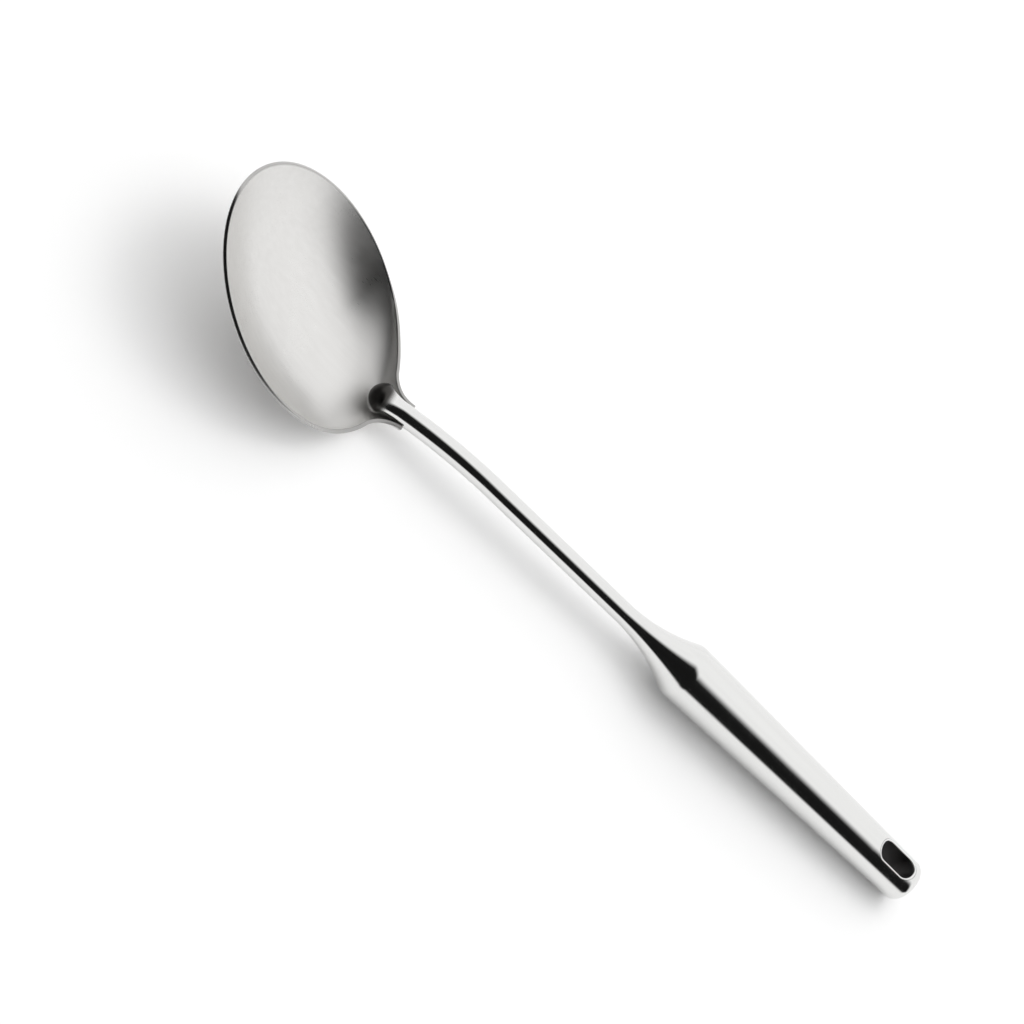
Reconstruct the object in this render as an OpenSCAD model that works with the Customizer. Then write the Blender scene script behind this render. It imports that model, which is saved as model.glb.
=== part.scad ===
// Serving spoon: a pressed bowl on a round stem with a hollow tapered handle and a hanging slot.

/* [Bowl] */
// Length of the bowl's rim from tail to tip
bowl_l = 92; // [70:1:120]
// Width of the bowl across its rim
bowl_w = 63; // [45:1:90]
// Depth of the bowl straight below the middle of its rim
bowl_depth = 14; // [8:0.5:30]
// Angle by which the tip rises above the line of the handle
bowl_tilt = 20; // [5:1:35]
// Thickness of the pressed sheet
sheet_t = 1.2; // [0.6:0.1:2]
// Share by which the bowl is fuller toward its tail
egg_share = 0.01; // [0:0.01:0.15]
// Power of the bowl's section, with a flatter floor when higher
floor_power = 2.4; // [2:0.1:4]

/* [Neck] */
// Radius of the outline where the bowl's tail narrows to the stem
neck_fillet_r = 13; // [10:1:25]
// Radius of the upward bend of the tail in side view
neck_bend_r = 22; // [12:1:40]
// Distance along the foot over which the tail's edges run level with the stem's middle
tail_level_l = 1; // [0:0.5:4]
// Distance by which the end of the foot's flare stands past the bowl's tail
foot_lap = 1.3; // [0:0.1:6]
// Distance past the foot's flare over which the trough of the tail opens into the bowl
trough_run = 24; // [8:1:30]
// Clearance between the foot and the trough of the tail
foot_gap = 0.1; // [0.05:0.05:0.3]

/* [Stem] */
// Diameter of the round stem
stem_d = 6.8; // [5:0.2:10]
// Length of the straight part between handle and bend
stem_straight_l = 58; // [40:0.1:90]
// Radius of the stem's downward bend
stem_bend_r = 132; // [90:1:220]
// Angle of the stem's downward bend
stem_bend = 16; // [4:1:20]
// Length of the foot's flare
foot_l = 7; // [4:0.5:14]
// Diameter of the foot where its flare ends
foot_d = 10.2; // [8:0.2:13]
// Length of the foot's round nose past its flare
foot_dome = 4.2; // [0.5:0.1:5]
// Length of the spigot inside the handle's neck
spigot_l = 18; // [8:1:24]

/* [Handle] */
// Length from the end to the middle of the shoulder
handle_l = 104.7; // [80:0.1:140]
// Diameter of the taper at the shoulder
shoulder_d = 19.2; // [14:0.2:26]
// Diameter of the taper at the end
end_d = 14.2; // [10:0.2:20]
// Length of the flare from shoulder to stem
flare_l = 29; // [18:0.1:40]
// Rounding of the shoulder
shoulder_r = 6; // [3:0.5:9]
// Rounding of the end
end_r = 3; // [1.5:0.1:4]
// Wall of the hollow handle
wall_t = 0.8; // [0.5:0.1:1.2]
// Clearance between the spigot and the handle's neck
spigot_gap = 0.1; // [0.05:0.05:0.3]

/* [Hanging slot] */
// Length of the clear slot
slot_l = 14.4; // [10:0.2:20]
// Width of the clear slot
slot_w = 6.6; // [4:0.2:8]
// Distance between the slot and the handle's end
slot_end = 4.2; // [3:0.1:10]
// Wall of the sleeve that lines the slot
sleeve_t = 0.7; // [0.5:0.1:1.2]
// Clearance at the round ends of the sleeve
sleeve_gap = 0.1; // [0.05:0.05:0.3]

/* [End cap] */
// Diameter of the opening that the cap closes
cap_d = 6.4; // [4:0.2:8]
// Width of the cap's flange inside the handle
cap_flange = 1; // [0.5:0.1:1.5]
// Thickness of the cap's flange
cap_flange_t = 0.8; // [0.5:0.1:1.5]
// Clearance around the cap
cap_gap = 0.1; // [0.05:0.05:0.3]

/* [Hidden] */
// Overrun of every cut past the faces that it leaves
over = 1;
// Fineness of round faces
round_fn = 96;
// Steps along the bowl, along its neck and across its section
bowl_steps = 46;
neck_steps = 14;
across = 30;
// Share of the turn that is left open as a blunt edge at the very tip
tip_share = 0.008;
// Halvings in the search for the angle of rest, and the steepest angle searched
rest_steps = 18;
rest_max = 5;

// Step between the foot and the bend, which keeps their round faces apart
foot_step = 0.02;
// Lap by which round outlines cross straight ones
lap = 0.01;

// Radii
stem_r = stem_d / 2;
foot_r = foot_d / 2;

// Side line of the stem, with the handle's end at zero and the bowl toward minus
neck_x = -(handle_l + flare_l);
bend_x = neck_x - stem_straight_l;
foot_x = bend_x - stem_bend_r * sin(stem_bend);
foot_z = -stem_bend_r * (1 - cos(stem_bend));
front_x = foot_x - foot_l * cos(stem_bend);
front_z = foot_z - foot_l * sin(stem_bend);
foot_root_r = stem_r - foot_step;
foot_flare_r = (pow(foot_l, 2) + pow(foot_r - foot_root_r, 2)) / (2 * (foot_r - foot_root_r));

// Side line of the rim: level with the stem, then a bend, then straight to the tip
rise_x = foot_x - tail_level_l * cos(stem_bend);
rise_z = foot_z - tail_level_l * sin(stem_bend);
bend_cx = rise_x - neck_bend_r * sin(stem_bend);
bend_cz = rise_z + neck_bend_r * cos(stem_bend);
rim_x = bend_cx - neck_bend_r * sin(bowl_tilt);
rim_z = bend_cz - neck_bend_r * cos(bowl_tilt);
function axis_z(x) = foot_z + (x - foot_x) * tan(stem_bend);
function edge_z(x) = x > rise_x ? axis_z(x)
    : x > rim_x ? bend_cz - sqrt(pow(neck_bend_r, 2) - pow(x - bend_cx, 2))
    : rim_z + (rim_x - x) * tan(bowl_tilt);

// Plan of the rim: an egg with a filleted neck
tail_x = front_x + foot_lap;
tip_x = tail_x - bowl_l * cos(bowl_tilt);
neck_half = stem_r + 2 * foot_gap;
tail_r = 2 * pow(bowl_w * (1 + egg_share) / 2, 2) / bowl_l;
fillet_s = tail_r - sqrt(pow(neck_fillet_r + tail_r, 2) - pow(neck_half + neck_fillet_r, 2));
meet_s = fillet_s + neck_fillet_r * (tail_r - fillet_s) / (neck_fillet_r + tail_r);
function along(x) = (tail_x - x) / cos(bowl_tilt);
function turn(x) = max(-1, min(1, 2 * along(x) / bowl_l - 1));
function egg_half(x) = bowl_w / 2 * sqrt(1 - pow(turn(x), 2)) * (1 - egg_share * turn(x));
function fillet_half(x) = let (d = along(x) - fillet_s)
    d < 0 ? neck_half : d > neck_fillet_r ? 0
    : neck_half + neck_fillet_r - sqrt(pow(neck_fillet_r, 2) - pow(d, 2));
function half_w(x) = max(egg_half(x), along(x) > meet_s ? 0 : fillet_half(x));

// Depth below the rim: a trough around the foot that runs on level and opens into the bowl
function foot_at(x) = let (d = (foot_x - x) / cos(stem_bend) + foot_r * tan(stem_bend))
    foot_root_r + foot_flare_r - sqrt(pow(foot_flare_r, 2) - pow(max(0, min(foot_l, d)), 2));
function trough_d(x) = edge_z(x) - axis_z(max(x, front_x)) + (foot_at(x) + foot_gap) / cos(stem_bend);
function smooth(v) = let (c = max(0, min(1, v))) c * c * (3 - 2 * c);
function bowl_d(x, t) = let (k = pow(turn(x), 2))
    bowl_depth * (1 - pow(k + (1 - k) * t * t, floor_power / 2));
function depth(x, t) = let (open = smooth((front_x - x) / trough_run))
    open * bowl_d(x, t) + (1 - open) * trough_d(x) * sqrt(1 - t * t);

// Inner face of the bowl as rows of points, and the outer face one sheet away
neck_end_x = tail_x - fillet_s * cos(bowl_tilt);
station_x = concat(
    [for (i = [0 : neck_steps - 1]) neck_end_x + (tail_x - neck_end_x) * i / neck_steps],
    [for (i = [0 : bowl_steps])
        let (a = 180 * (1 - tip_share) * i / bowl_steps)
        tail_x + (tip_x - tail_x) * (1 - cos(a)) / 2]);
rows = len(station_x) - 1;
function shell_pt(x, t) = [x, half_w(x) * t, edge_z(x) - depth(x, t)];
inner = [for (x = station_x) [for (j = [0 : across]) shell_pt(x, sin(180 * j / across - 90))]];
function unit(v) = v / norm(v);
function face_dir(i, j) = unit(cross(
    inner[min(rows, i + 1)][j] - inner[max(0, i - 1)][j],
    inner[i][min(across, j + 1)] - inner[i][max(0, j - 1)]));
outer = [for (i = [0 : rows]) [for (j = [0 : across]) inner[i][j] + sheet_t * face_dir(i, j)]];
outer_pts = [for (row = outer) each row];

// Angle and place at rest, with the bowl's underside and the handle's end on the ground
taper = atan((shoulder_d - end_d) / 2 / handle_l);
end_cr = end_d / 2 + end_r * tan(taper) - end_r / cos(taper);
shoulder_cr = end_d / 2 + handle_l * tan(taper) - shoulder_r / cos(taper);
function low_end(a) = end_r * sin(a) - end_cr * cos(a) - end_r;
function low_shoulder(a) = handle_l * sin(a) - shoulder_cr * cos(a) - shoulder_r;
function low_handle(a) = min(low_end(a), low_shoulder(a));
function low_bowl(a) = min([for (p = outer_pts) p[2] * cos(a) - p[0] * sin(a)]);
function rest_of(lo, hi, n) = let (m = (lo + hi) / 2)
    n == 0 ? m : low_bowl(m) < low_handle(m) ? rest_of(m, hi, n - 1) : rest_of(lo, m, n - 1);
rest_angle = rest_of(0, rest_max, rest_steps);
x_low = min([for (p = concat(outer_pts, inner[rows])) p[0] * cos(rest_angle) + p[2] * sin(rest_angle)]);
x_high = end_r - end_r * cos(rest_angle) + end_cr * sin(rest_angle);
place = [-(x_low + x_high) / 2, 0, -min(low_bowl(rest_angle), low_handle(rest_angle))];

// Flare between shoulder and stem, tangent to both
flare_r = (pow(stem_r - shoulder_cr, 2) + pow(flare_l, 2) - pow(shoulder_r, 2))
    / (2 * (shoulder_cr + shoulder_r - stem_r));
flare_c = [stem_r + flare_r, handle_l + flare_l];
shoulder_c = [shoulder_cr, handle_l];
flare_out = unit(flare_c - shoulder_c);
end_c = [end_cr, end_r];
slot_x = -(slot_end + slot_l / 2);

// Puts a piece drawn along the handle's line at rest on the ground
module at_rest() { translate(place) rotate([0, rest_angle, 0]) children(); }

// Turns a round piece so that it runs from the handle's end toward the bowl
module along_handle() { rotate([0, -90, 0]) rotate_extrude($fn = round_fn) children(); }

// Half section of the handle, moved inward by the given inset and run on at the neck
module handle_half(inset, run_on) {
    out = [cos(taper), -sin(taper)];
    intersection() {
        square([shoulder_d, run_on - neck_x]);
        difference() {
            union() {
                polygon([
                    [0, inset], [end_cr, inset], end_c + (end_r - inset) * out,
                    shoulder_c + (shoulder_r - inset) * out, shoulder_c + (shoulder_r - inset) * flare_out,
                    [shoulder_d / 2, over - neck_x], [0, over - neck_x]]);
                translate(end_c) circle(end_r - inset + lap, $fn = round_fn);
                translate(shoulder_c) circle(shoulder_r - inset + lap, $fn = round_fn);
            }
            translate(flare_c) circle(flare_r + inset, $fn = round_fn);
        }
    }
}

// Upright oblong block of the given width, with its round ends the given distance apart
module oblong(width, apart) {
    tall = 2 * shoulder_d;
    translate([slot_x, 0, -shoulder_d]) {
        translate([-apart / 2, -width / 2, 0]) cube([apart, width, tall]);
        for (side = [-1, 1]) translate([side * apart / 2, 0, 0])
            cylinder(h = tall, d = width, $fn = round_fn);
    }
}

// Pressed bowl with the trough that holds the stem's foot
module bowl() {
    wide = across + 1;
    count = wide * (rows + 1);
    function at(i, j) = i * wide + j;
    top = [for (i = [0 : rows - 1]) for (j = [0 : across - 1])
        each [[at(i, j), at(i, j + 1), at(i + 1, j + 1)], [at(i, j), at(i + 1, j + 1), at(i + 1, j)]]];
    edge = concat(
        [for (j = [0 : across]) at(0, j)],
        [for (i = [1 : rows]) at(i, across)],
        [for (j = [across - 1 : -1 : 0]) at(rows, j)],
        [for (i = [rows - 1 : -1 : 1]) at(i, 0)]);
    rim = [for (k = [0 : len(edge) - 1]) let (a = edge[k], b = edge[(k + 1) % len(edge)])
        each [[b, a, a + count], [b, a + count, b + count]]];
    under = [for (f = top) [f[2] + count, f[1] + count, f[0] + count]];
    color("silver") at_rest()
        polyhedron(points = concat([for (row = inner) each row], outer_pts), faces = concat(top, rim, under));
}

// Round stem with its spigot, its bend and its flared foot
module stem() {
    dome_r = (pow(foot_r, 2) + pow(foot_dome, 2)) / (2 * foot_dome);
    color("gainsboro") at_rest() {
        along_handle() {
            translate([0, -neck_x]) square([stem_r, stem_straight_l]);
            translate([0, -neck_x - spigot_l]) square([stem_r - wall_t - spigot_gap, spigot_l]);
        }
        translate([bend_x, 0, -stem_bend_r]) rotate([90, 0, 0]) rotate([0, 0, 90])
            rotate_extrude(angle = stem_bend, $fn = round_fn)
                translate([stem_bend_r, 0]) circle(stem_r, $fn = round_fn);
        translate([foot_x, 0, foot_z]) rotate([0, -90 - stem_bend, 0]) rotate_extrude($fn = round_fn) {
            difference() {
                polygon([
                    [0, -over], [foot_root_r, -over], [foot_root_r, 0],
                    [foot_r, foot_l], [0, foot_l]]);
                translate([foot_root_r + foot_flare_r, 0]) circle(foot_flare_r, $fn = round_fn);
            }
            intersection() {
                translate([0, foot_l + foot_dome - dome_r]) circle(dome_r, $fn = round_fn);
                translate([0, foot_l]) square([foot_d, foot_d]);
            }
        }
    }
}

// Hollow handle with its shoulder, flare and spun-in end
module handle_tube() {
    color("lightgray") at_rest() difference() {
        along_handle() difference() {
            handle_half(0, 0);
            handle_half(wall_t, over);
            translate([0, -over]) square([cap_d / 2, wall_t + 2 * over]);
        }
        oblong(slot_w + 2 * sleeve_t, slot_l - slot_w + 2 * sleeve_gap);
    }
}

// Oblong sleeve that lines the hanging slot
module hanging_sleeve() {
    color("white") at_rest() difference() {
        intersection() {
            along_handle() handle_half(0, 0);
            oblong(slot_w + 2 * sleeve_t, slot_l - slot_w);
        }
        oblong(slot_w, slot_l - slot_w);
    }
}

// Stepped disc that closes the handle's end from inside
module end_cap() {
    color("silver") at_rest() along_handle() {
        square([cap_d / 2 - cap_gap, wall_t]);
        translate([0, wall_t]) square([cap_d / 2 + cap_flange, cap_flange_t]);
    }
}

bowl();
stem();
handle_tube();
hanging_sleeve();
end_cap();
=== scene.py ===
# A stainless steel serving spoon: a satin bowl, a polished stem and a hollow polished handle
from math import atan, atan2, cos, hypot, pi, radians, sin, sqrt, tan

import bmesh
import bpy
from mathutils import Matrix, Vector


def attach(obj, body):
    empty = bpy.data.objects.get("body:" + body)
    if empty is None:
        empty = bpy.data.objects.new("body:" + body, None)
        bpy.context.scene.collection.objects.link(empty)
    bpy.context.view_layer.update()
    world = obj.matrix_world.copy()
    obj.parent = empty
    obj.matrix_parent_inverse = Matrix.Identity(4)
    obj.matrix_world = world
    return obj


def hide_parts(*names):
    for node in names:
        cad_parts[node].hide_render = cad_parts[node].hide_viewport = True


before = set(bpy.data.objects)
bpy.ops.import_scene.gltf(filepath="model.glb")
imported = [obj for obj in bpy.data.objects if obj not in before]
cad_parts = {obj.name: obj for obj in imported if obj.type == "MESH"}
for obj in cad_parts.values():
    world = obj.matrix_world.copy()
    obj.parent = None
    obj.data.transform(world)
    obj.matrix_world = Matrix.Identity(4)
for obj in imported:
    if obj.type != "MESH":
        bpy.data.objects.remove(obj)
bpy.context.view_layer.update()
scene = bpy.context.scene

# Sizes of the spoon in millimetres, the same as in the part's source
BOWL_L, BOWL_W, BOWL_DEPTH, BOWL_TILT = 92, 63, 14, radians(20)
SHEET_T, EGG_SHARE, FLOOR_POWER = 1.2, 0.01, 2.4
NECK_FILLET_R, NECK_BEND_R, TAIL_LEVEL_L, FOOT_LAP, TROUGH_RUN, FOOT_GAP = 13, 22, 1, 1.3, 24, 0.1
STEM_R, STEM_STRAIGHT_L, STEM_BEND_R, STEM_BEND = 3.4, 58, 132, radians(16)
FOOT_L, FOOT_R, FOOT_DOME, FOOT_STEP, SPIGOT_L = 7, 5.1, 4.2, 0.02, 18
HANDLE_L, SHOULDER_D, END_D, FLARE_L = 104.7, 19.2, 14.2, 29
SHOULDER_R, END_R, WALL_T, SPIGOT_GAP = 6, 3, 0.8, 0.1
SLOT_L, SLOT_W, SLOT_END, SLEEVE_T, SLEEVE_GAP = 14.4, 6.6, 4.2, 0.7, 0.1
CAP_R, CAP_FLANGE, CAP_FLANGE_T, CAP_GAP = 3.2, 1, 0.8, 0.1

# Where the spoon lies at rest, from the line of the handle
REST_ANGLE = radians(1.59892)
REST_PLACE = (159.992, 0, 7.08547)
MM = 0.001
LAID = Matrix.Translation(REST_PLACE) @ Matrix.Rotation(REST_ANGLE, 4, "Y")
AT_REST = Matrix.Scale(MM, 4) @ LAID

# Points closer than the first are one, and points within the second of a radius lie on it
WELD, NEAR = 1e-4, 1e-3

# Edges that turn by more than this are corners, on the turned pieces and on the bowl
TURNED_CORNER, BOWL_CORNER = radians(40), radians(60)

# Side line of the stem and of the rim, with the handle's end at zero and the bowl toward minus
NECK_X = -(HANDLE_L + FLARE_L)
BEND_X = NECK_X - STEM_STRAIGHT_L
FOOT_X = BEND_X - STEM_BEND_R * sin(STEM_BEND)
FOOT_Z = -STEM_BEND_R * (1 - cos(STEM_BEND))
FRONT_X = FOOT_X - FOOT_L * cos(STEM_BEND)
FOOT_ROOT_R = STEM_R - FOOT_STEP
FOOT_FLARE_R = (FOOT_L ** 2 + (FOOT_R - FOOT_ROOT_R) ** 2) / (2 * (FOOT_R - FOOT_ROOT_R))
RISE_X = FOOT_X - TAIL_LEVEL_L * cos(STEM_BEND)
RISE_Z = FOOT_Z - TAIL_LEVEL_L * sin(STEM_BEND)
BEND_CX = RISE_X - NECK_BEND_R * sin(STEM_BEND)
BEND_CZ = RISE_Z + NECK_BEND_R * cos(STEM_BEND)
RIM_X = BEND_CX - NECK_BEND_R * sin(BOWL_TILT)
RIM_Z = BEND_CZ - NECK_BEND_R * cos(BOWL_TILT)

# Plan of the rim: an egg with a filleted neck
TAIL_X = FRONT_X + FOOT_LAP
TIP_X = TAIL_X - BOWL_L * cos(BOWL_TILT)
MID_X = (TAIL_X + TIP_X) / 2
NECK_HALF = STEM_R + 2 * FOOT_GAP
TAIL_R = 2 * (BOWL_W * (1 + EGG_SHARE) / 2) ** 2 / BOWL_L
FILLET_S = TAIL_R - sqrt((NECK_FILLET_R + TAIL_R) ** 2 - (NECK_HALF + NECK_FILLET_R) ** 2)
MEET_S = FILLET_S + NECK_FILLET_R * (TAIL_R - FILLET_S) / (NECK_FILLET_R + TAIL_R)
NECK_END_X = TAIL_X - FILLET_S * cos(BOWL_TILT)

# Half section of the handle as distances from its end and radii
TAPER = atan((SHOULDER_D - END_D) / 2 / HANDLE_L)
END_CR = END_D / 2 + END_R * tan(TAPER) - END_R / cos(TAPER)
SHOULDER_CR = END_D / 2 + HANDLE_L * tan(TAPER) - SHOULDER_R / cos(TAPER)
FLARE_RISE = SHOULDER_CR + SHOULDER_R - STEM_R
FLARE_R = ((STEM_R - SHOULDER_CR) ** 2 + FLARE_L ** 2 - SHOULDER_R ** 2) / (2 * FLARE_RISE)
FLARE_LEAN = atan2(FLARE_L, STEM_R + FLARE_R - SHOULDER_CR)

# Middle of the slot, the distance between its round ends, and the handle's opening that the sleeve fills
SLOT_X = -(SLOT_END + SLOT_L / 2)
SLOT_APART = SLOT_L - SLOT_W
OPENING_W, OPENING_APART = SLOT_W + 2 * SLEEVE_T, SLOT_APART + 2 * SLEEVE_GAP


def smooth(v):
    c = max(0, min(1, v))
    return c * c * (3 - 2 * c)


def axis_z(x):
    return FOOT_Z + (x - FOOT_X) * tan(STEM_BEND)


def edge_z(x):
    """Height of the rim."""
    if x > RISE_X:
        return axis_z(x)
    if x > RIM_X:
        return BEND_CZ - sqrt(NECK_BEND_R ** 2 - (x - BEND_CX) ** 2)
    return RIM_Z + (RIM_X - x) * tan(BOWL_TILT)


def along(x):
    return (TAIL_X - x) / cos(BOWL_TILT)


def turn(x):
    return max(-1, min(1, 2 * along(x) / BOWL_L - 1))


def half_width(x):
    """Half the width of the rim."""
    egg = BOWL_W / 2 * sqrt(1 - turn(x) ** 2) * (1 - EGG_SHARE * turn(x))
    past = along(x) - FILLET_S
    if along(x) > MEET_S:
        return egg
    if past < 0:
        return max(egg, NECK_HALF)
    return max(egg, NECK_HALF + NECK_FILLET_R - sqrt(NECK_FILLET_R ** 2 - past ** 2))


def trough_depth(x):
    """Depth of the tail's trough, which holds the stem's foot."""
    run = (FOOT_X - x) / cos(STEM_BEND) + FOOT_R * tan(STEM_BEND)
    run = max(0, min(FOOT_L, run))
    foot = FOOT_ROOT_R + FOOT_FLARE_R - sqrt(FOOT_FLARE_R ** 2 - run ** 2)
    return edge_z(x) - axis_z(max(x, FRONT_X)) + (foot + FOOT_GAP) / cos(STEM_BEND)


def opened(x):
    """How far the trough has opened into the bowl, from 0 to 1."""
    return smooth((FRONT_X - x) / TROUGH_RUN)


def depth(x, t):
    """Depth of the inner face below the rim, at the given share of the half width."""
    k = turn(x) ** 2
    t = max(-1, min(1, t))
    bowl = BOWL_DEPTH * (1 - (k + (1 - k) * t * t) ** (FLOOR_POWER / 2))
    trough = trough_depth(x) * sqrt(1 - t * t)
    return opened(x) * bowl + (1 - opened(x)) * trough


def taper_r(a):
    return END_D / 2 + a * tan(TAPER)


def on_taper(x, y, side):
    return Vector((x, y, side * sqrt(taper_r(-x) ** 2 - y ** 2)))


def slot_middle(x, apart):
    """The nearest place on the slot's middle line, with its round ends the given distance apart."""
    return SLOT_X + max(-apart / 2, min(apart / 2, x - SLOT_X))


def spaced(start, end, steps):
    return [start + (end - start) * i / steps for i in range(steps + 1)]


def arc(centre, radius, start, end, steps):
    """Points of an arc in the half section, with angles from straight out toward the bowl."""
    turns = spaced(start, end, steps)
    return [(centre[0] + radius * sin(t), centre[1] + radius * cos(t)) for t in turns]


def turned(section, steps):
    """Turns a half section of distances and radii round the line of the handle."""
    bm = bmesh.new()
    verts = [bm.verts.new((-a, 0, r)) for a, r in section]
    edges = [bm.edges.new(pair) for pair in zip(verts, verts[1:])]
    bmesh.ops.spin(
        bm, geom=verts + edges, cent=(0, 0, 0), axis=(1, 0, 0), angle=2 * pi, steps=steps, use_merge=True)
    bmesh.ops.remove_doubles(bm, verts=bm.verts, dist=WELD)
    bmesh.ops.recalc_face_normals(bm, faces=bm.faces)
    return bm


def rounded(bm, edges, radius, segments):
    """Rounds edges, and returns the new vertices."""
    return bmesh.ops.bevel(
        bm, geom=edges, offset=radius, offset_type="OFFSET", affect="EDGES", segments=segments,
        profile=0.5, material=-1, clamp_overlap=False)["verts"]


def next_ring(bm, ring, place):
    """Extrudes a loop of edges and moves each new vertex to its place."""
    grown = bmesh.ops.extrude_edge_only(bm, edges=ring)["geom"]
    verts = {v for v in grown if isinstance(v, bmesh.types.BMVert)}
    for v in verts:
        v.co = place(v.co)
    return [e for e in grown if isinstance(e, bmesh.types.BMEdge) and set(e.verts) <= verts]


def face_out(bm, way):
    """Turns the faces of an open skin to the side that the given way, from each face's middle, shows."""
    bmesh.ops.recalc_face_normals(bm, faces=bm.faces)
    if sum(f.normal.dot(way(f.calc_center_median())) for f in bm.faces) < 0:
        bmesh.ops.reverse_faces(bm, faces=bm.faces)


def add_piece(name, bm, node, finish, corner=TURNED_CORNER):
    """Lays a shape at rest and puts it in the place of its solid."""
    bmesh.ops.transform(bm, matrix=AT_REST, verts=bm.verts)
    mesh = bpy.data.meshes.new(name)
    bm.to_mesh(mesh)
    bm.free()
    mesh.shade_smooth()
    mesh.set_sharp_from_angle(angle=corner)
    mesh.materials.append(finish)
    piece = bpy.data.objects.new(name, mesh)
    scene.collection.objects.link(piece)
    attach(piece, "root")
    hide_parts(node)


def add_node(tree, kind, feeds=None, **settings):
    """Adds a shader node with its settings, and feeds its inputs with values or sockets."""
    made = tree.nodes.new(kind)
    for name, value in settings.items():
        setattr(made, name, value)
    for name, value in (feeds or {}).items():
        if isinstance(value, bpy.types.NodeSocket):
            tree.links.new(value, made.inputs[name])
        else:
            made.inputs[name].default_value = value
    return made


def maths(tree, operation, a, b):
    return add_node(tree, "ShaderNodeMath", {0: a, 1: b}, operation=operation).outputs[0]


def vector_maths(tree, operation, feeds):
    return add_node(tree, "ShaderNodeVectorMath", feeds, operation=operation).outputs


def noise(tree, vector, scale, detail, roughness=0.5, distortion=0.0):
    feeds = {"Vector": vector, "Scale": scale, "Detail": detail}
    feeds |= {"Roughness": roughness, "Distortion": distortion}
    return add_node(tree, "ShaderNodeTexNoise", feeds).outputs


def ranged(tree, value, low, high, to_low, to_high):
    """A value taken smoothly from one range to another, and held at its ends."""
    feeds = {"Value": value, "From Min": low, "From Max": high, "To Min": to_low, "To Max": to_high}
    return add_node(tree, "ShaderNodeMapRange", feeds, interpolation_type="SMOOTHSTEP").outputs[0]


def attribute(tree, name):
    return add_node(tree, "ShaderNodeAttribute", attribute_name=name).outputs["Fac"]


def mixed(tree, mask, low, high):
    """A number between two numbers or sockets, by a mask."""
    feeds = {"Factor": mask, "A": low, "B": high}
    return add_node(tree, "ShaderNodeMix", feeds, data_type="FLOAT").outputs["Result"]


def tinted(tree, mask, low, high):
    """A colour between two colours or sockets, by a mask."""
    mix = add_node(tree, "ShaderNodeMix", {"Factor": mask}, data_type="RGBA")
    ends = {socket.name: socket for socket in mix.inputs if socket.type == "RGBA"}
    for name, colour in (("A", low), ("B", high)):
        if isinstance(colour, bpy.types.NodeSocket):
            tree.links.new(colour, ends[name])
        else:
            ends[name].default_value = (*colour, 1)
    return next(socket for socket in mix.outputs if socket.type == "RGBA")


def roughened(tree, rough, mask, amount):
    """A roughness with an amount added to it where a mask is."""
    return maths(tree, "ADD", rough, maths(tree, "MULTIPLY", mask, amount))


def raised(tree, shader, height, strength, distance):
    bump = add_node(
        tree, "ShaderNodeBump", {"Height": height, "Strength": strength, "Distance": distance})
    tree.links.new(bump.outputs["Normal"], shader.inputs["Normal"])


def new_group(name, inputs, outputs):
    """Starts a shader node group that takes a place and some numbers and puts out masks."""
    group = bpy.data.node_groups.new(name, "ShaderNodeTree")
    group.interface.new_socket("Vector", in_out="INPUT", socket_type="NodeSocketVector")
    for label in inputs:
        group.interface.new_socket(label, in_out="INPUT", socket_type="NodeSocketFloat")
    for label in outputs:
        group.interface.new_socket(label, in_out="OUTPUT", socket_type="NodeSocketFloat")
    return group, group.nodes.new("NodeGroupInput"), group.nodes.new("NodeGroupOutput")


# Noise of the brushing's fine lines, and of the bands that they lie in
LINE_SCALE, LINE_DETAIL, LINE_ROUGHNESS = 1.0, 3.0, 0.65
BAND_SCALE, BAND_DETAIL, BAND_ROUGHNESS = 0.12, 2.0, 0.5


def brushing_group():
    """Fine lines that run along the spoon, as an abrasive belt leaves them."""
    group, given, out = new_group("brushing", ["Lines per metre", "Length share"], ["Lines", "Bands"])
    across = given.outputs["Lines per metre"]
    lengthwise = maths(group, "MULTIPLY", across, given.outputs["Length share"])
    scale = add_node(group, "ShaderNodeCombineXYZ", {"X": lengthwise, "Y": across, "Z": across})
    stretched = vector_maths(group, "MULTIPLY", {0: given.outputs["Vector"], 1: scale.outputs[0]})[0]
    fine = noise(group, stretched, LINE_SCALE, LINE_DETAIL, LINE_ROUGHNESS)
    broad = noise(group, stretched, BAND_SCALE, BAND_DETAIL, BAND_ROUGHNESS)
    group.links.new(fine["Fac"], out.inputs["Lines"])
    group.links.new(broad["Fac"], out.inputs["Bands"])
    return group


# Noise of the smears, the range of it over which they show, and the range over which scratches come with them
SMEAR_DETAIL, SMEAR_ROUGHNESS, SMEAR_DISTORTION = 4.0, 0.6, 0.8
SMEAR_RANGE, SCRATCHED_RANGE = (0.35, 0.7), (0.52, 0.68)
# Noise that bends the scratches, how far in metres it moves them, and their width beside their spacing
SWAY_SCALE, SWAY_DETAIL, SWAY_REACH, SCRATCH_WIDTH = 25.0, 1.0, 0.02, 0.012


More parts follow.
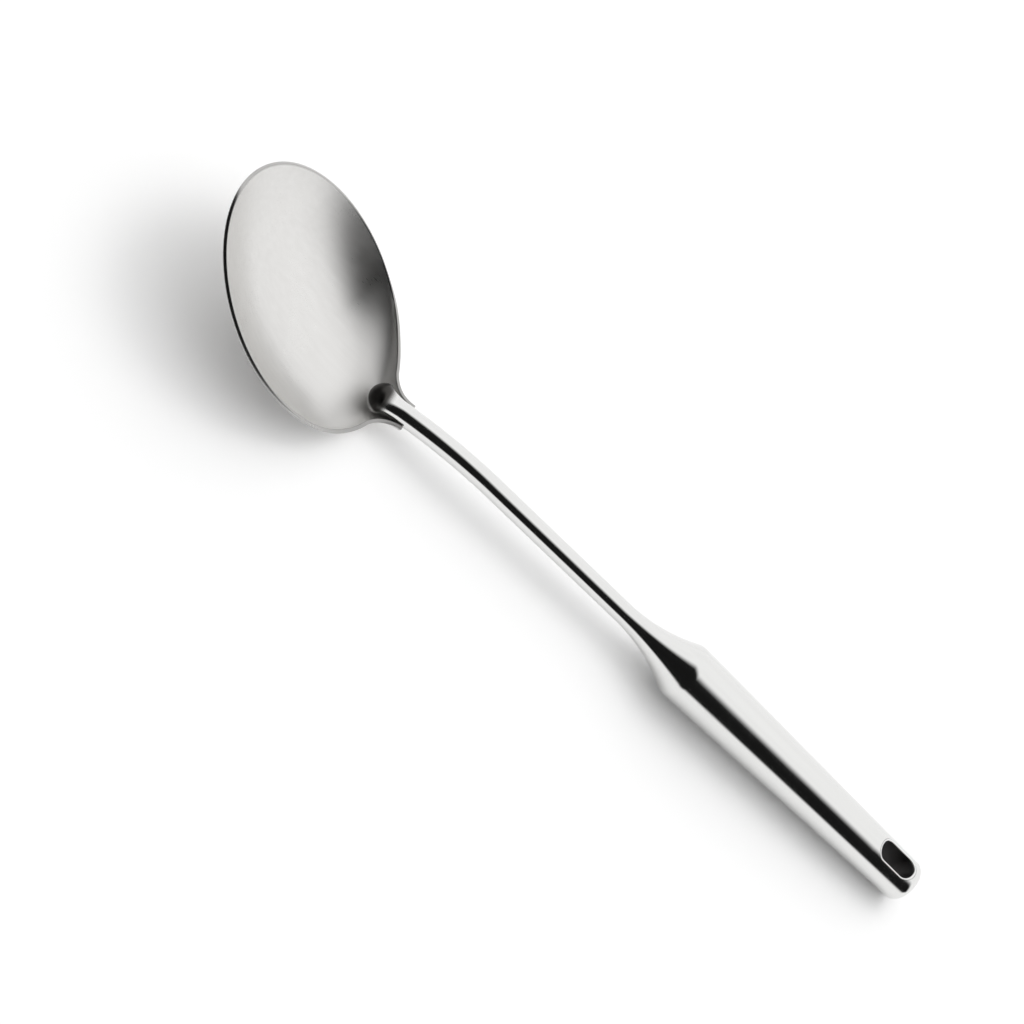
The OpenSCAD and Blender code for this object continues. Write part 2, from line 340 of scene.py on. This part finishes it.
def handling_group():
    """Faint smears and hairline scratches from use and washing."""
    group, given, out = new_group(
        "handling", ["Smears per metre", "Scratches per metre"], ["Smears", "Scratches"])
    vector, smears = given.outputs["Vector"], given.outputs["Smears per metre"]
    smear = noise(group, vector, smears, SMEAR_DETAIL, SMEAR_ROUGHNESS, SMEAR_DISTORTION)["Fac"]
    sway = noise(group, vector, SWAY_SCALE, SWAY_DETAIL)["Color"]
    shift = vector_maths(group, "SCALE", {0: sway, "Scale": SWAY_REACH})[0]
    moved = vector_maths(group, "ADD", {0: vector, 1: shift})[0]
    cells = add_node(
        group, "ShaderNodeTexVoronoi", {"Vector": moved, "Scale": given.outputs["Scratches per metre"]},
        feature="DISTANCE_TO_EDGE")
    thin = ranged(group, cells.outputs["Distance"], 0.0, SCRATCH_WIDTH, 1.0, 0.0)
    patchy = ranged(group, smear, *SCRATCHED_RANGE, 0.0, 1.0)
    group.links.new(ranged(group, smear, *SMEAR_RANGE, 0.0, 1.0), out.inputs["Smears"])
    group.links.new(maths(group, "MULTIPLY", thin, patchy), out.inputs["Scratches"])
    return group


BRUSHING = brushing_group()
HANDLING = handling_group()
# Range of the lines' mask that takes a finish from its smoothest to its roughest
LINE_RANGE = (0.3, 0.7)


def brushed(tree, vector, lines, length_share):
    feeds = {"Vector": vector, "Lines per metre": lines, "Length share": length_share}
    return add_node(tree, "ShaderNodeGroup", feeds, node_tree=BRUSHING).outputs


def handled(tree, vector, smears, scratches=0.0):
    feeds = {"Vector": vector, "Smears per metre": smears, "Scratches per metre": scratches}
    return add_node(tree, "ShaderNodeGroup", feeds, node_tree=HANDLING).outputs


def steel(name):
    """Starts a steel finish and returns it with its tree, shader and coordinates laid along the handle."""
    finish = bpy.data.materials.new(name)
    finish.use_nodes = True
    tree = finish.node_tree
    shader = tree.nodes["Principled BSDF"]
    shader.inputs["Metallic"].default_value = 1.0
    coords = add_node(tree, "ShaderNodeTexCoord").outputs["Object"]
    lined = add_node(tree, "ShaderNodeMapping", {"Vector": coords, "Rotation": (0, -REST_ANGLE, 0)})
    return finish, tree, shader, lined.outputs[0]


# Bowl finish: colours of its darkest and lightest bands, of the painted light on its neck and of the painted
# shade on its rim, marks to the metre, the range of its roughness with what smears, rim and neck add to it,
# and the strength and depth of its lines
SATIN_DARK, SATIN_LIGHT = (0.71, 0.702, 0.688), (0.78, 0.773, 0.76)
NECK_PAINTED_LIGHT, RIM_SHADE_COLOUR = (0.88, 0.872, 0.858), (0.45, 0.445, 0.436)
SATIN_LINES, SATIN_LENGTH_SHARE, SATIN_SMEARS = 5000.0, 0.012, 30.0
SATIN_ROUGH, SATIN_SMEAR_ROUGH, RIM_ROUGH, NECK_ROUGH = (0.26, 0.33), 0.05, -0.12, 0.3
SATIN_RAISED = (0.05, 0.00004)


def satin_steel():
    """Bowl finish: fine satin brushing, with a smoother deburred rim darkened by painted shade and a duller
    neck lightened by painted light.
    """
    finish, tree, shader, vector = steel("satin_steel")
    lines = brushed(tree, vector, SATIN_LINES, SATIN_LENGTH_SHARE)
    smears = handled(tree, vector, SATIN_SMEARS)["Smears"]
    rim, neck = attribute(tree, "rim_polish_and_shade"), attribute(tree, "neck")
    colour = tinted(tree, lines["Bands"], SATIN_DARK, SATIN_LIGHT)
    # painted light: the neck mask lifts the colour to brighten the neck
    colour = tinted(tree, neck, colour, NECK_PAINTED_LIGHT)
    # painted shade: the rim mask darkens the bowl's colour along its rounded edges
    tree.links.new(tinted(tree, rim, colour, RIM_SHADE_COLOUR), shader.inputs["Base Color"])
    rough = ranged(tree, lines["Lines"], *LINE_RANGE, *SATIN_ROUGH)
    rough = roughened(tree, rough, smears, SATIN_SMEAR_ROUGH)
    rough = roughened(tree, rough, rim, RIM_ROUGH)
    rough = roughened(tree, rough, neck, NECK_ROUGH)
    tree.links.new(rough, shader.inputs["Roughness"])
    raised(tree, shader, lines["Lines"], *SATIN_RAISED)
    return finish


# Stem and handle finish, in the same way, with the colour of the painted shade on the foot and what scratches
# and its joint add
POLISH_DARK, POLISH_LIGHT, FOOT_SHADE_COLOUR = (0.73, 0.73, 0.72), (0.78, 0.78, 0.77), (0.06, 0.058, 0.055)
POLISH_LINES, POLISH_LENGTH_SHARE, POLISH_SMEARS, POLISH_SCRATCHES = 3500.0, 0.01, 45.0, 170.0
POLISH_ROUGH, POLISH_SMEAR_ROUGH, SCRATCH_ROUGH, JOINT_ROUGH = (0.085, 0.125), 0.03, 0.12, 0.25
POLISH_RAISED = (0.08, 0.00002)


def polished_steel():
    """Stem and handle finish: mirror polish with faint belt lines, smears, hairlines and painted shade on the
    foot.
    """
    finish, tree, shader, vector = steel("polished_steel")
    lines = brushed(tree, vector, POLISH_LINES, POLISH_LENGTH_SHARE)
    marks = handled(tree, vector, POLISH_SMEARS, POLISH_SCRATCHES)
    joint, foot_shade = attribute(tree, "joint"), attribute(tree, "foot_painted_shade")
    colour = tinted(tree, lines["Bands"], POLISH_DARK, POLISH_LIGHT)
    # painted shade: the foot's upper side is coloured near black
    tree.links.new(tinted(tree, foot_shade, colour, FOOT_SHADE_COLOUR), shader.inputs["Base Color"])
    rough = ranged(tree, lines["Lines"], *LINE_RANGE, *POLISH_ROUGH)
    rough = roughened(tree, rough, marks["Smears"], POLISH_SMEAR_ROUGH)
    rough = roughened(tree, rough, marks["Scratches"], SCRATCH_ROUGH)
    rough = roughened(tree, rough, joint, JOINT_ROUGH)
    tree.links.new(rough, shader.inputs["Roughness"])
    raised(tree, shader, lines["Lines"], *POLISH_RAISED)
    return finish


# Slot finish, in the same way, with the colour of its lip, the colour of the painted shade in its bore, and
# what the bore adds
LIP_COLOUR, BORE_SHADE_COLOUR = (0.78, 0.78, 0.77), (0.16, 0.155, 0.155)
SLEEVE_SMEARS, SLEEVE_ROUGH, BORE_ROUGH = 220.0, (0.1, 0.16), 0.4
SLEEVE_RAISED = (0.15, 0.00003)


def sleeve_steel():
    """Slot finish: a polished lip over a dull bore darkened by painted shade."""
    finish, tree, shader, vector = steel("sleeve_steel")
    smears = handled(tree, vector, SLEEVE_SMEARS)["Smears"]
    bore = attribute(tree, "bore")
    # painted shade: the bore mask darkens the colour inside the slot
    tree.links.new(tinted(tree, bore, LIP_COLOUR, BORE_SHADE_COLOUR), shader.inputs["Base Color"])
    rough = roughened(tree, ranged(tree, smears, 0.0, 1.0, *SLEEVE_ROUGH), bore, BORE_ROUGH)
    tree.links.new(rough, shader.inputs["Roughness"])
    raised(tree, shader, smears, *SLEEVE_RAISED)
    return finish


SATIN, POLISHED, SLEEVE = satin_steel(), polished_steel(), sleeve_steel()


# Camera at the photograph's angle, turned on its side as the picture is, and how far it sees in metres
CAMERA_AZIMUTH, CAMERA_ELEVATION, CAMERA_ROLL = radians(-38.371), radians(51.748), radians(75.623)
CAMERA_TARGET, CAMERA_DISTANCE = (-181.084, 0, -2.455), 1880.56
FOCAL_PIXELS, IMAGE_PIXELS, CAMERA_REACH = 6300, 1024, 50


def add_camera():
    data = bpy.data.cameras.new("camera")
    data.lens = data.sensor_width * FOCAL_PIXELS / IMAGE_PIXELS
    data.clip_end = CAMERA_REACH
    camera = bpy.data.objects.new("camera", data)
    aim = Matrix.Rotation(CAMERA_AZIMUTH, 4, "Z") @ Matrix.Rotation(pi / 2 - CAMERA_ELEVATION, 4, "X")
    stand = LAID @ Matrix.Translation(CAMERA_TARGET) @ aim
    stand = stand @ Matrix.Translation((0, 0, CAMERA_DISTANCE)) @ Matrix.Rotation(CAMERA_ROLL, 4, "Z")
    place = stand.to_translation() * MM
    camera.matrix_world = Matrix.Translation(place) @ stand.to_3x3().to_4x4()
    scene.collection.objects.link(camera)
    scene.camera = camera


# Counts of the bowl's faces along its rim and from its rim to its middle, how they crowd toward the tip, and
# the finer steps in which the rim is measured
RAYS, RINGS, SPINE_POWER, RIM_FINENESS = 160, 44, 1.9, 20
# Width of the first row of faces inside the rim, how much longer the way inward is than its plan, and the
# rounding of the rim's edges
RIM_STEP, SLOPE_LENGTH, RIM_ROUND, RIM_SEGMENTS = 0.7, 1.2, 0.2, 3


def rim_stations(count):
    """Evenly spaced places along the rim, from the end of the neck to the tip."""
    fine = count * RIM_FINENESS
    xs = [NECK_END_X + (TIP_X - NECK_END_X) * sin(i / fine * pi / 2) for i in range(fine + 1)]
    points = [Vector((x, half_width(x), edge_z(x))) for x in xs]
    runs = [0]
    for p, q in zip(points, points[1:]):
        runs.append(runs[-1] + (q - p).length)
    stations, i = [], 0
    for n in range(count + 1):
        want = runs[-1] * n / count
        while i < fine - 1 and runs[i + 1] < want:
            i += 1
        share = (want - runs[i]) / (runs[i + 1] - runs[i])
        stations.append(xs[i] + (xs[i + 1] - xs[i]) * min(1, share))
    stations[-1] = TIP_X
    return stations


def spine_x(ray):
    """Where the line of faces across the bowl from a place on its rim meets its middle line."""
    last = MID_X + (TIP_X - MID_X) * (1 - (BOWL_W / BOWL_L / cos(BOWL_TILT)) ** 2)
    return NECK_END_X + (last - NECK_END_X) * (1 - (1 - ray / RAYS) ** SPINE_POWER)


def bowl():
    """Pressed sheet bowl: a grid laid over the plan, sunk to its depth, thickened and rounded at its rim."""
    bm = bmesh.new()
    polish_and_shade, neck = bm.verts.layers.float.new("rim_polish_and_shade"), bm.verts.layers.float.new("neck")
    bmesh.ops.create_grid(bm, x_segments=RAYS, y_segments=2 * RINGS, size=1)
    stations = rim_stations(RAYS)
    for v in bm.verts:
        ray = round((v.co.x + 1) / 2 * RAYS)
        ring = round(v.co.y * RINGS)
        rim_x, rim_y = stations[ray], half_width(stations[ray])
        spine = spine_x(ray)
        reach = hypot(rim_x - spine, rim_y)
        first_row = RIM_STEP / (SLOPE_LENGTH * reach + 2 * RIM_STEP)
        share = 1 if abs(ring) == RINGS else abs(ring) / (RINGS - 1) * (1 - first_row)
        share = opened(rim_x) * share + (1 - opened(rim_x)) * sin(share * pi / 2)
        side = -1 if ring < 0 else 1
        x, y = spine + (rim_x - spine) * share, side * rim_y * share
        v.co = x, y, edge_z(x) - depth(x, y / max(half_width(x), WELD))
        # The neck mask gives a duller finish and painted light
        v[neck] = 1 - opened(x)
    bmesh.ops.remove_doubles(bm, verts=bm.verts, dist=WELD)
    face_out(bm, lambda middle: Vector((0, 0, 1)))
    bmesh.ops.solidify(bm, geom=bm.faces[:], thickness=SHEET_T)
    corners = [e for e in bm.edges if len(e.link_faces) == 2 and e.calc_face_angle() > BOWL_CORNER]
    # The rounded rim faces take the mask that makes them smoother and darkens them with painted shade
    for v in rounded(bm, corners, RIM_ROUND, RIM_SEGMENTS):
        v[polish_and_shade] = 1.0
    bmesh.ops.recalc_face_normals(bm, faces=bm.faces)
    add_piece("pressed_bowl", bm, "bowl", SATIN, corner=BOWL_CORNER)


# Counts of faces round the turned pieces, and along the stem's straight, bend, foot and dome
ROUND_STEPS = 128
STRAIGHT_ROWS, BEND_ROWS, FOOT_ROWS, DOME_ROWS = 12, 36, 16, 10
FOOT_ROUND, FOOT_SEGMENTS = 0.45, 4
# Where along the foot its joint with the bowl starts to dull it and over which length, and the shares of its
# radius at which the painted shade on its upper side starts and over which it grows
JOINT_FROM, JOINT_RUN = 3.5, 2.8
SHADE_FROM, SHADE_RUN = -0.1, 0.25


def stem():
    """Round rod with a spigot, a gentle bend and a flared, domed foot, turned straight and then bent."""
    start, bend_a = -NECK_X, -BEND_X
    foot_a = bend_a + STEM_BEND_R * STEM_BEND
    spigot_r = STEM_R - WALL_T - SPIGOT_GAP
    dome_r = (FOOT_R ** 2 + FOOT_DOME ** 2) / (2 * FOOT_DOME)
    dome_half = atan2(FOOT_R, dome_r - FOOT_DOME)
    dome_a = foot_a + FOOT_L + FOOT_DOME - dome_r
    flare_half = atan2(FOOT_L, FOOT_ROOT_R + FOOT_FLARE_R - FOOT_R)
    section = [(start - SPIGOT_L, 0), (start - SPIGOT_L, spigot_r), (start, spigot_r)]
    section += [(a, STEM_R) for a in spaced(start, bend_a, STRAIGHT_ROWS)]
    section += [(a, STEM_R) for a in spaced(bend_a, foot_a, BEND_ROWS)[1:-1]]
    section += arc((foot_a, FOOT_ROOT_R + FOOT_FLARE_R), FOOT_FLARE_R, pi, pi - flare_half, FOOT_ROWS)
    section += [(dome_a + dome_r * cos(t), dome_r * sin(t)) for t in spaced(dome_half, 0, DOME_ROWS)[1:]]
    bm = turned(section, ROUND_STEPS)
    edge = [e for e in bm.edges if all(abs(hypot(v.co.y, v.co.z) - FOOT_R) < NEAR for v in e.verts)]
    rounded(bm, edge, FOOT_ROUND, FOOT_SEGMENTS)
    joint, foot_shade = bm.verts.layers.float.new("joint"), bm.verts.layers.float.new("foot_painted_shade")
    for v in bm.verts:
        run = -v.co.x - bend_a
        v[joint] = smooth((-v.co.x - foot_a - JOINT_FROM) / JOINT_RUN)
        # painted shade on the foot's upper side, coming in with the joint
        v[foot_shade] = v[joint] * smooth((v.co.z / FOOT_R - SHADE_FROM) / SHADE_RUN)
        if run > 0:
            lean = min(run / STEM_BEND_R, STEM_BEND)
            local = Vector((-(run - lean * STEM_BEND_R), v.co.y, v.co.z + STEM_BEND_R))
            v.co = Vector((BEND_X, 0, -STEM_BEND_R)) + Matrix.Rotation(-lean, 3, "Y") @ local
    add_piece("stem_rod", bm, "stem", POLISHED)


# Counts of faces along the handle's end corner, slot, taper, shoulder and flare
END_ROWS, SLOT_ROWS, TAPER_ROWS, SHOULDER_ROWS, FLARE_ROWS = 12, 22, 24, 12, 30
# Half the patch of the handle that is remade round the slot, in faces and as an angle, and how far from the
# handle's end it reaches
PATCH_STEPS, PATCH_END = 17, 20.6
PATCH_ANGLE = 2 * pi / ROUND_STEPS * PATCH_STEPS
# Shares of the way still to go at each loop between the patch and the slot
SLOT_LOOPS = (0.3, 0.35, 0.4, 0.45, 0.5, 0.6, 1)


def toward_slot(co, side, share):
    """A point of the handle's skin, moved by a share of its way to the edge of the slot's opening."""
    middle = slot_middle(co.x, OPENING_APART)
    out = Vector((co.x - middle, co.y)).normalized() * OPENING_W / 2
    return on_taper(co.x + (middle + out.x - co.x) * share, co.y + (out.y - co.y) * share, side)


def open_slot(bm, side, start):
    """Opens the skin at the slot on one side, with loops of faces from the patch to the opening's edge."""
    patch = []
    for f in bm.faces:
        x, y, z = f.calc_center_median()
        if -PATCH_END < x < -start and abs(atan2(y, side * z)) < PATCH_ANGLE:
            patch.append(f)
    bmesh.ops.delete(bm, geom=patch, context="FACES")

    def round_patch(v):
        return -PATCH_END - WELD < v.co.x < -start + WELD and side * v.co.z > 0

    ring = [e for e in bm.edges if e.is_boundary and all(round_patch(v) for v in e.verts)]
    for share in SLOT_LOOPS:
        ring = next_ring(bm, ring, lambda co: toward_slot(co, side, share))


def handle():
    """Hollow tapered handle: a turned skin, opened at the slot on both sides, and thickened inward."""
    corner = arc((END_R, END_CR), END_R, -pi / 2, -TAPER, END_ROWS)
    start = corner[-1][0]
    shoulder = arc((HANDLE_L, SHOULDER_CR), SHOULDER_R, -TAPER, FLARE_LEAN, SHOULDER_ROWS)
    section = [(0, CAP_R)] + corner
    section += [(a, taper_r(a)) for a in spaced(start, PATCH_END, SLOT_ROWS)[1:]]
    section += [(a, taper_r(a)) for a in spaced(PATCH_END, shoulder[0][0], TAPER_ROWS)[1:-1]]
    section += shoulder
    section += arc((-NECK_X, STEM_R + FLARE_R), FLARE_R, pi + FLARE_LEAN, pi, FLARE_ROWS)[1:]
    bm = turned(section, ROUND_STEPS)
    for side in (1, -1):
        open_slot(bm, side, start)
    face_out(bm, lambda middle: Vector((0, middle.y, middle.z)))
    bmesh.ops.solidify(bm, geom=bm.faces[:], thickness=WALL_T)
    add_piece("handle_shell", bm, "handle_tube", POLISHED)


# Rounding of the slot's lip and its steps, the depth at which the bore runs straight, the play between sleeve
# and handle that keeps their faces apart, and the count of faces round the sleeve
LIP_R, LIP_STEPS, BORE_FROM, SLEEVE_PLAY, SLEEVE_STEPS = 0.55, 7, 1.6, 0.02, 96


def sleeve():
    """Oblong liner of the hanging slot, with a rolled lip on both sides of the handle."""
    wall = SLEEVE_T - SLEEVE_PLAY
    lip = [(LIP_R * (1 - sin(t)), LIP_R * (1 - cos(t))) for t in spaced(0, pi / 2, LIP_STEPS)]
    # Each loop's distance out of the bore and depth under the skin, the side it is on, and whether it is bore
    first = (wall, 0, 1, 0)
    others = [(out, drop, 1, float(i == LIP_STEPS)) for i, (out, drop) in enumerate(lip)]
    others += [(0, BORE_FROM, 1, 1.0), (0, BORE_FROM, -1, 1.0)]
    others += [(out, drop, -1, float(i == 0)) for i, (out, drop) in enumerate(reversed(lip))]
    others += [(wall, 0, -1, 0), first]
    bm = bmesh.new()
    bore = bm.verts.layers.float.new("bore")
    ring = bmesh.ops.create_circle(bm, segments=SLEEVE_STEPS, radius=1)["verts"]

    def place(angle, out, drop, side):
        r = SLOT_W / 2 + out
        x = SLOT_X + (SLOT_APART / 2 if cos(angle) > 0 else -SLOT_APART / 2) + r * cos(angle)
        at = on_taper(x, r * sin(angle), side)
        at.z -= side * drop
        return at

    def angle_of(co):
        return atan2(co.y, co.x - slot_middle(co.x, SLOT_APART))

    edges = bm.edges[:]
    for i, v in enumerate(ring):
        v.co = place((i + 0.5) * 2 * pi / SLEEVE_STEPS, *first[:3])
        v[bore] = first[3]
    for out, drop, side, dark in others:
        edges = next_ring(bm, edges, lambda co: place(angle_of(co), out, drop, side))
        for e in edges:
            for v in e.verts:
                v[bore] = dark
    bmesh.ops.remove_doubles(bm, verts=bm.verts, dist=WELD)
    bmesh.ops.recalc_face_normals(bm, faces=bm.faces)
    add_piece("slot_sleeve", bm, "hanging_sleeve", SLEEVE)


# Rounding of the cap's edge and its steps, and the share of the cap's radius at which its face has a loop
CAP_ROUND, CAP_STEPS, CAP_LOOP = 0.15, 4, 0.5


def end_cap():
    """Stepped disc that closes the handle's end, with a softened edge."""
    r = CAP_R - CAP_GAP
    back = WALL_T + CAP_FLANGE_T
    section = [(0, 0), (0, r * CAP_LOOP), (0, r - CAP_ROUND)]
    section += arc((CAP_ROUND, r - CAP_ROUND), CAP_ROUND, -pi / 2, 0, CAP_STEPS)[1:]
    section += [(WALL_T, r), (WALL_T, CAP_R + CAP_FLANGE), (back, CAP_R + CAP_FLANGE), (back, 0)]
    bm = turned(section, ROUND_STEPS)
    add_piece("handle_end_disc", bm, "end_cap", POLISHED)


# Floor colour, its colour as the camera and the steel see it, which the light makes plain white, its
# roughness, and half its side in metres
PAPER, PAPER_SEEN, PAPER_ROUGH = (0.7, 0.7, 0.7), (1, 1, 1), 0.9
FLOOR_HALF = 6


def add_floor():
    """Plain white floor that keeps the spoon's shadow."""
    bm = bmesh.new()
    bmesh.ops.create_grid(bm, x_segments=1, y_segments=1, size=FLOOR_HALF)
    mesh = bpy.data.meshes.new("floor")
    bm.to_mesh(mesh)
    bm.free()
    floor = bpy.data.objects.new("floor", mesh)
    scene.collection.objects.link(floor)
    paper = bpy.data.materials.new("white_paper")
    paper.use_nodes = True
    tree = paper.node_tree
    shader = tree.nodes["Principled BSDF"]
    shader.inputs["Roughness"].default_value = PAPER_ROUGH
    shader.inputs["Specular IOR Level"].default_value = 0.0
    path = add_node(tree, "ShaderNodeLightPath").outputs
    mirrored = maths(tree, "MAXIMUM", path["Is Glossy Ray"], path["Is Transmission Ray"])
    seen = maths(tree, "MAXIMUM", path["Is Camera Ray"], mirrored)
    tree.links.new(tinted(tree, seen, PAPER, PAPER_SEEN), shader.inputs["Base Color"])
    mesh.materials.append(paper)


# The studio: a white tent over the far side, and a dark room on the near side with a bright low strip, each
# with the range of directions over which it changes and its levels
TENT_SIDE, TENT_DARK, TENT_BRIGHT = Vector((0.45, 0.893, 0)), -0.18, 0.2
TENT_LIGHT, DARK_LIGHT = 1.08, 0.01
STRIP_FULL, STRIP_NONE = 0.0, 0.2
# Direction, edges and levels of the soft light from above on the floor, where the lamp gives the rest
FLOOR_SIDE, FLOOR_DARK, FLOOR_BRIGHT = Vector((0.12, 0.55, 0.82)), 0.3, 0.9
FLOOR_FILL, FLOOR_LIGHT = 0.37, 1.5
# Strength at which the camera sees the backdrop as plain white
BACKDROP = 1.0


def add_studio():
    world = bpy.data.worlds.new("studio")
    scene.world = world
    world.use_nodes = True
    tree = world.node_tree
    sky = tree.nodes["Background"]
    sky.inputs["Color"].default_value = (1, 1, 1, 1)
    way = add_node(tree, "ShaderNodeTexCoord").outputs["Generated"]
    height = add_node(tree, "ShaderNodeSeparateXYZ", {0: way}).outputs["Z"]
    to_tent = vector_maths(tree, "DOT_PRODUCT", {0: way, 1: TENT_SIDE})["Value"]
    over_floor = vector_maths(tree, "DOT_PRODUCT", {0: way, 1: FLOOR_SIDE})["Value"]
    tent = ranged(tree, to_tent, TENT_DARK, TENT_BRIGHT, DARK_LIGHT, TENT_LIGHT)
    strip = ranged(tree, height, STRIP_FULL, STRIP_NONE, TENT_LIGHT, 0.0)
    strip = maths(tree, "MULTIPLY", strip, ranged(tree, to_tent, -TENT_BRIGHT, 0.0, 1.0, 0.0))
    around = maths(tree, "MAXIMUM", tent, strip)
    soft = ranged(tree, over_floor, FLOOR_DARK, FLOOR_BRIGHT, FLOOR_FILL, FLOOR_LIGHT)
    path = add_node(tree, "ShaderNodeLightPath").outputs
    shown = mixed(tree, path["Is Diffuse Ray"], around, soft)
    tree.links.new(mixed(tree, path["Is Camera Ray"], shown, BACKDROP), sky.inputs["Strength"])


# Place and size in metres and power in watts of one soft lamp, which the steel doesn't mirror
LAMP_FROM, LAMP_SIZE, LAMP_POWER = Vector((0.25, 0.68, 1.35)), 0.7, 3


def add_lamp():
    lamp = bpy.data.lights.new("soft_lamp", "AREA")
    lamp.energy, lamp.size = LAMP_POWER, LAMP_SIZE
    holder = bpy.data.objects.new("soft_lamp", lamp)
    holder.location = LAMP_FROM
    holder.rotation_euler = LAMP_FROM.to_track_quat("Z", "Y").to_euler()
    holder.visible_glossy = False
    scene.collection.objects.link(holder)


add_camera()
bowl()
stem()
handle()
sleeve()
end_cap()
add_floor()
add_studio()
add_lamp()
scene.view_settings.view_transform = "Standard"
